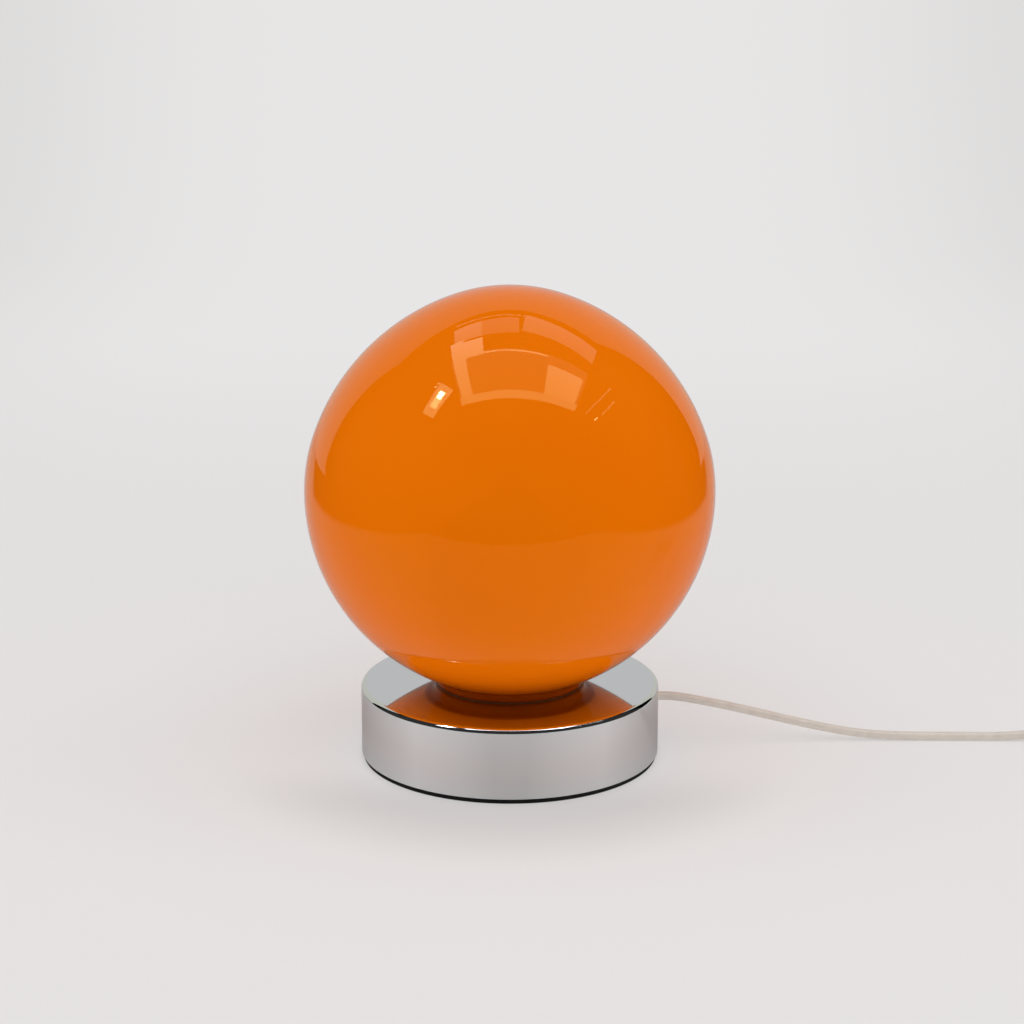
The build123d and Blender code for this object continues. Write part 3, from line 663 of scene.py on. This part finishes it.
studio = {
    "paper": (0.800, 0.790, 0.788),
    "warmPaper": (0.803, 0.793, 0.700),  # painted reflection colour: the sheet's far parts, painted warmer as polished things mirror them
    "unlit": (0.015, 0.015, 0.015),
    "halfWidth": 5.0,
    "front": -5.0,
    "wallAt": 2.4,
    "wallTop": 5.0,
    "curve": 0.5,
    "floorTop": 0.02,  # the sweep counts as floor below this height
    "glowNear": 0.45,  # share of the paper's own glow in the camera's sight, by the lamp
    "glowBehind": (0.25, 1.4),  # it grows to 1 along this stretch behind the lamp
    "glowAround": (0.6, 1.9),  # and along this one on every side
    "sidesFrom": (0.25, 0.85),  # the glow falls off a little across this stretch
    "sidesLevel": 0.90,
    "seenDimming": 0.10,
    "contact": 0.30,  # painted shadow: how much darker the paper is painted close in front of the drum
    "paintedShadowRadius": (0.09, 0.19),
    "contactFront": (-0.10, -0.02),
    "sheetFull": 0.60,  # the part of the sweep painted as lit for polished things to mirror
    "sheetHalfWidth": 0.76,
    "sheetFlare": 0.7,  # how fast the sheet widens towards the wall
    "sheetFlareFrom": 0.6,
    "sheetFront": -0.71,
    "sheetWallLeft": -3.3,
    "sheetWallRight": 2.3,
    "sheetWallTop": 3.4,
    "warmAbove": (0.95, 1.15),
    "warmBeyond": (0.36, 0.50),
    "mirroredWall": 0.70,
    "mirroredTwice": 0.4,
    "bounceShare": 0.49,  # share of glow in the floor that matte things are lit by
    "bounceGlow": 1.8,
    "bandsFrom": -0.06,  # the painted levels of light on the mirrored floor fan out from here, alike on both sides
    "bands": {"behind": (-80, 0.80), "beside": (-45, 0.55), "strip": (12, 0.82), "ahead": (75, 0.60)},
}


def makeSweep():
    # floor and wall as one curved sheet, drawn as a profile and extruded sideways
    bm = bmesh.new()
    last = bm.verts.new((-studio["halfWidth"], studio["front"], 0))
    corner = bm.verts.new((-studio["halfWidth"], studio["wallAt"] - studio["curve"], 0))
    bm.edges.new((last, corner))
    spun = bmesh.ops.spin(bm, geom=[corner], axis=(1, 0, 0), angle=pi / 2, steps=16,
                          cent=(0, studio["wallAt"] - studio["curve"], studio["curve"]))
    last = next(item for item in spun["geom_last"] if isinstance(item, bmesh.types.BMVert))
    top = bm.verts.new((-studio["halfWidth"], studio["wallAt"], studio["wallTop"]))
    bm.edges.new((last, top))
    wide = bmesh.ops.extrude_edge_only(bm, edges=bm.edges[:])
    moved = [item for item in wide["geom"] if isinstance(item, bmesh.types.BMVert)]
    bmesh.ops.translate(bm, verts=moved, vec=(2 * studio["halfWidth"], 0, 0))
    bmesh.ops.recalc_face_normals(bm, faces=bm.faces)
    mesh = bpy.data.meshes.new("paperSweep")
    bm.to_mesh(mesh)
    bm.free()
    for face in mesh.polygons:
        face.use_smooth = True
    sweep = bpy.data.objects.new("paperSweep", mesh)
    scene.collection.objects.link(sweep)
    mesh.materials.append(makePaper())


def addPaintedMirrorLevels(tree, along, width):
    # painted light and shade: plain levels of the floor's brightness as polished things mirror it, by
    # bearing from a place in the drum, from straight behind to straight ahead
    bearing = addMath(tree, "ARCTAN2", addMath(tree, "SUBTRACT", studio["bandsFrom"], along), width)
    ramp = tree.nodes.new("ShaderNodeValToRGB")
    stops = ramp.color_ramp.elements
    for index, (degrees, level) in enumerate(studio["bands"].values()):
        position = degrees / 180 + 0.5
        stop = stops[index] if index < 2 else stops.new(position)
        stop.position = position
        stop.color = (level, level, level, 1)
    tree.links.new(addSpread(tree, bearing, -pi / 2, pi / 2, 0, 1, "LINEAR"), ramp.inputs["Fac"])
    return ramp.outputs["Color"]


def addMirroredFloor(tree, along, width):
    # the painted lit sheet on the floor as polished things mirror it, which widens towards the wall and
    # fades past its sides
    beyond = addMath(tree, "MAXIMUM", addMath(tree, "SUBTRACT", along, studio["sheetFlareFrom"]), 0)
    flare = addMath(tree, "MULTIPLY", studio["sheetFlare"], beyond)
    lit = addSpread(tree, addMath(tree, "SUBTRACT", width, flare),
                    studio["sheetFull"], studio["sheetHalfWidth"], 1, 0)
    return addMath(tree, "MULTIPLY", addPaintedMirrorLevels(tree, along, width), lit,
                   addMath(tree, "GREATER_THAN", along, studio["sheetFront"]))


def addMirroredWall(tree, across, height):
    return addMath(tree, "MULTIPLY", studio["mirroredWall"],
                   addMath(tree, "GREATER_THAN", across, studio["sheetWallLeft"]),
                   addMath(tree, "LESS_THAN", across, studio["sheetWallRight"]),
                   addMath(tree, "LESS_THAN", height, studio["sheetWallTop"]))


def addSquaredSpread(tree, squared, span, first, last):
    # runs between two distances over a distance that is given squared
    return addSpread(tree, squared, span[0] ** 2, span[1] ** 2, first, last)


def makePaper():
    # matte paper that glows a little to the camera, more towards the wall; polished things see only a
    # painted lit sheet round the lamp, warmer in its far parts, and a painted dark studio past its edges; a
    # painted shadow darkens it in front of the drum
    material, tree, shader = newFinish("paper", studio["paper"], 0.9)
    shader.inputs["Specular IOR Level"].default_value = 0.0
    path = tree.nodes.new("ShaderNodeLightPath")
    direct, matte = path.outputs["Is Camera Ray"], path.outputs["Is Diffuse Ray"]
    polished = addPolished(tree, path)
    across, along, height = addPlace(tree, "Object")
    width = addMath(tree, "ABSOLUTE", across, 0)
    acrossSquared = addMath(tree, "MULTIPLY", across, across)
    reachSquared = addMath(tree, "ADD", acrossSquared, addMath(tree, "MULTIPLY", along, along))
    onFloor = addMath(tree, "LESS_THAN", height, studio["floorTop"])
    onWall = addMath(tree, "SUBTRACT", 1.0, onFloor)

    again = addSpread(tree, path.outputs["Glossy Depth"], 1, 2, 1, studio["mirroredTwice"])
    floorPart = addMath(tree, "MULTIPLY", addMirroredFloor(tree, along, width), again, onFloor)
    wallPart = addMath(tree, "MULTIPLY", addMirroredWall(tree, across, height), again)
    warmth = addMath(tree, "MAXIMUM", addSpread(tree, height, *studio["warmAbove"], 0, 1),
                     addSpread(tree, width, *studio["warmBeyond"], 0, 1))
    sheet = addMix(tree, addMath(tree, "MULTIPLY", polished, warmth), studio["paper"], studio["warmPaper"])

    # painted shadow on the floor close in front of the drum, seen by the camera only
    paintedShadow = addMath(tree, "MULTIPLY",
                    addSquaredSpread(tree, reachSquared, studio["paintedShadowRadius"], studio["contact"], 0),
                    addSpread(tree, along, *studio["contactFront"], 1, 0))
    paintedDimming = addMath(tree, "ADD",
                      addMath(tree, "MULTIPLY", polished, addMath(tree, "SUBTRACT", 1.0, floorPart)),
                      addMath(tree, "MULTIPLY", direct, addMath(tree, "ADD", paintedShadow, studio["seenDimming"])))
    tree.links.new(addMix(tree, paintedDimming, sheet, studio["unlit"]), shader.inputs["Base Color"])

    glow = tree.nodes.new("ShaderNodeEmission")
    sides = addSquaredSpread(tree, acrossSquared, studio["sidesFrom"], 1, studio["sidesLevel"])
    level = addMath(tree, "ADD", addMath(tree, "MULTIPLY", direct, sides),
                    addMath(tree, "MULTIPLY", polished, wallPart),
                    addMath(tree, "MULTIPLY", matte, studio["bounceGlow"]))
    tree.links.new(sheet, glow.inputs["Color"])
    tree.links.new(level, glow.inputs["Strength"])

    share = addMath(tree, "MAXIMUM",
                    addSpread(tree, along, *studio["glowBehind"], studio["glowNear"], 1),
                    addSquaredSpread(tree, reachSquared, studio["glowAround"], 0, 1))
    seen = addMath(tree, "ADD", addMath(tree, "MULTIPLY", share, direct),
                   addMath(tree, "MULTIPLY", onWall, polished),
                   addMath(tree, "MULTIPLY", onFloor, matte, studio["bounceShare"]))
    mix = tree.nodes.new("ShaderNodeMixShader")
    tree.links.new(seen, mix.inputs["Fac"])
    tree.links.new(shader.outputs["BSDF"], mix.inputs[1])
    tree.links.new(glow.outputs["Emission"], mix.inputs[2])
    tree.links.new(mix.outputs["Shader"], tree.nodes["Material Output"].inputs["Surface"])
    return material


air = {
    "tint": (1.0, 0.99, 0.985),
    "fillHigh": 1.05,
    "fillLow": 0.50,
    "fillFront": 0.12,  # low down on the camera's side
    "frontSpan": (-0.75, -0.1),
    "riseSpan": (0.25, 0.62),
    "mirrored": 0.03,
    "seen": 0.81,
}


def makeWorld():
    # pale to the camera, soft fill to the surfaces, and a dark studio to polished things
    world = bpy.data.worlds.new("studioAir")
    scene.world = world
    world.use_nodes = True
    tree = world.node_tree
    background = tree.nodes["Background"]
    background.inputs["Color"].default_value = (*air["tint"], 1)
    path = tree.nodes.new("ShaderNodeLightPath")
    direct = path.outputs["Is Camera Ray"]
    polished = addPolished(tree, path)
    others = addMath(tree, "SUBTRACT", 1.0, addMath(tree, "MAXIMUM", polished, direct))
    away, up = addPlace(tree, "Generated")[1:]
    low = addSpread(tree, away, *air["frontSpan"], air["fillFront"], air["fillLow"])
    rise = addSpread(tree, up, *air["riseSpan"], 0, 1)
    fill = addMath(tree, "ADD", addMath(tree, "MULTIPLY", low, addMath(tree, "SUBTRACT", 1.0, rise)),
                   addMath(tree, "MULTIPLY", rise, air["fillHigh"]))
    shares = [addMath(tree, "MULTIPLY", others, fill), addMath(tree, "MULTIPLY", polished, air["mirrored"]),
              addMath(tree, "MULTIPLY", direct, air["seen"])]
    tree.links.new(addMath(tree, "ADD", *shares), background.inputs["Strength"])


def makePanel(name, centre, size, radiance, aim=None, turn=0, mirrored=True, lit=True):
    # a rectangular soft light; radiance is what a mirror would show of it
    data = bpy.data.lights.new(name, "AREA")
    data.shape = "RECTANGLE"
    data.size, data.size_y = size
    data.energy = radiance * pi * size[0] * size[1]
    light = bpy.data.objects.new(name, data)
    scene.collection.objects.link(light)
    light.location = centre
    if aim:
        light.rotation_euler = (Vector(aim) - Vector(centre)).to_track_quat("-Z", "Y").to_euler()
    else:
        light.rotation_euler.z = radians(turn)
    light.visible_camera = False
    light.visible_glossy = mirrored
    light.visible_diffuse = lit


# the overhead rig that the glass mirrors: centre x and y, width along x and y, turn, radiance
rigHeight = 1.664
rig = {
    "rigFront": ((0.146, -0.609), (1.71, 0.144), 0, 4.2),
    "rigFrontEdge": ((0.146, -0.672), (1.71, 0.018), 0, 4.0),
    "rigLeft": ((-0.590, -0.045), (0.165, 1.0), 0, 5.0),
    "rigLeftBack": ((-0.480, 0.235), (0.370, 0.32), 0, 5.2),
    "rigRight": ((0.700, -0.290), (0.500, 0.50), 0, 5.0),
    "rigBar": ((0.074, 0.097), (0.73, 0.022), 0, 7.0),
    "rigInside": ((0.15, -0.20), (1.70, 0.66), 0, 0.8),
    "rigUpperLeft": ((-0.46, 0.61), (0.32, 0.36), 0, 2.2),
    "rigUpperMiddle": ((-0.10, 0.61), (0.40, 0.36), 0, 1.1),
    "rigUpperRight": ((0.60, 0.64), (0.90, 0.42), -6, 1.6),
    "rigUpperEdge": ((0.15, 0.86), (1.50, 0.015), -3, 3.0),
    "rigStreak": ((1.34, -0.20), (0.025, 0.90), -16, 2.5),
    "rigStreakEnd": ((1.47, -0.60), (0.05, 0.10), -16, 12.0),
    "rigFarStreak": ((1.60, -0.20), (0.035, 0.50), -12, 3.0),
    "rigLamp": ((-0.985, -0.350), (0.13, 0.09), 30, 150.0),
    "rigLampHalo": ((-1.06, -0.400), (0.34, 0.13), 32, 16.0),
    "rigLampGlow": ((-1.10, -0.420), (0.62, 0.26), 32, 5.0),
    "rigLampGlint": ((-0.98, -0.150), (0.10, 0.025), 20, 9.0),
}
for name, (place, size, turn, radiance) in rig.items():
    makePanel(name, (*place, rigHeight), size, radiance, turn=turn, lit=False)

# soft boxes that light the matte and glazed surfaces unseen: centre, size, radiance, aim
softBoxes = {
    "softTop": ((-0.1, 0.2, 1.9), (2.2, 2.2), 0.22, None),
    "softFront": ((-0.05, -1.3, 1.75), (2.0, 1.2), 0.97, (0, 0, 0.15)),
    "softLeft": ((-1.6, 0.10, 0.60), (0.9, 0.5), 1.3, (0, 0, 0.10)),
    "softRight": ((1.6, 0.10, 0.60), (0.9, 0.5), 1.9, (0, 0, 0.10)),
}
for name, (place, size, radiance, aim) in softBoxes.items():
    makePanel(name, place, size, radiance, aim=aim, mirrored=False)
makeSweep()
makeWorld()
scene.view_settings.view_transform = "Standard"
print("studio lit")

bpy.context.view_layer.update()
